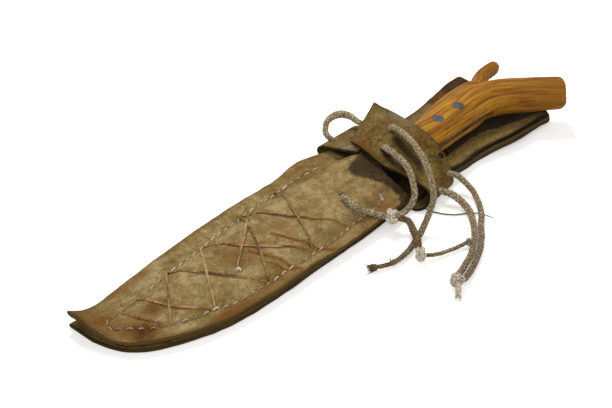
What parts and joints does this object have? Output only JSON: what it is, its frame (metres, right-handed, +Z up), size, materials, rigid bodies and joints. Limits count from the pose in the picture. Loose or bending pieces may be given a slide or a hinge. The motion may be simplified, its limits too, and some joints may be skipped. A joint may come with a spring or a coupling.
{
  "type": "hunting knife in sheath",
  "caption": "Long-bladed hunting knife with a forked branch handle, drawn from a laced raw leather sheath with a cord-tied collar.",
  "frame": {"origin": "on the surface that the sheath lies on, under the middle of the pocket", "axes": "+X from the sheath's tip towards the handle, +Y towards the spine side of the blade, +Z up"},
  "size_m": [0.451, 0.2051, 0.0478],
  "materials": {
    "blade_steel": "dull worn carbon steel with faint scratches",
    "branch_wood": "barked branch, oiled golden orange with dark grain lines",
    "rivet_steel": "peened flush, blue-grey",
    "back_leather": "raw olive leather, dark edges",
    "front_leather": "raw olive-tan leather with rust-brown stains",
    "welt_leather": "dark cut edge",
    "liner_leather": "dark inner leather",
    "collar_leather": "stiff suede-like olive leather",
    "cotton_cord": "braided cotton cord, weathered off-white",
    "stained_cord": "braided cotton cord stained brown",
    "sinew": "dried brown sinew with pale highlights"
  },
  "bodies": {
    "sheath": {"sheath_back": "back_leather", "sheath_front": "front_leather", "edge_welt": "welt_leather", "back_liner": "liner_leather", "collar": "collar_leather", "front_lacing": "sinew", "tie_cord": "cotton_cord", "lace_cord": "cotton_cord", "loop_cord": "cotton_cord", "strap_cord_upper": "cotton_cord", "strap_cord_lower": "cotton_cord", "tail_cord": "stained_cord", "bridge_cord": "cotton_cord", "loose_sinew": "sinew", "lace_knot": "cotton_cord", "tail_knot": "cotton_cord", "end_knot": "cotton_cord", "hitch_knot": "cotton_cord"},
    "knife": {"blade": "blade_steel", "handle": "branch_wood", "rivet_front": "rivet_steel", "rivet_rear": "rivet_steel"}
  },
  "joints": [
    {"name": "knife_draw", "type": "slide", "parent": "sheath", "child": "knife", "axis": [0.9993, 0, 0.0366], "range_m": [0, 0.3]}
  ]
}
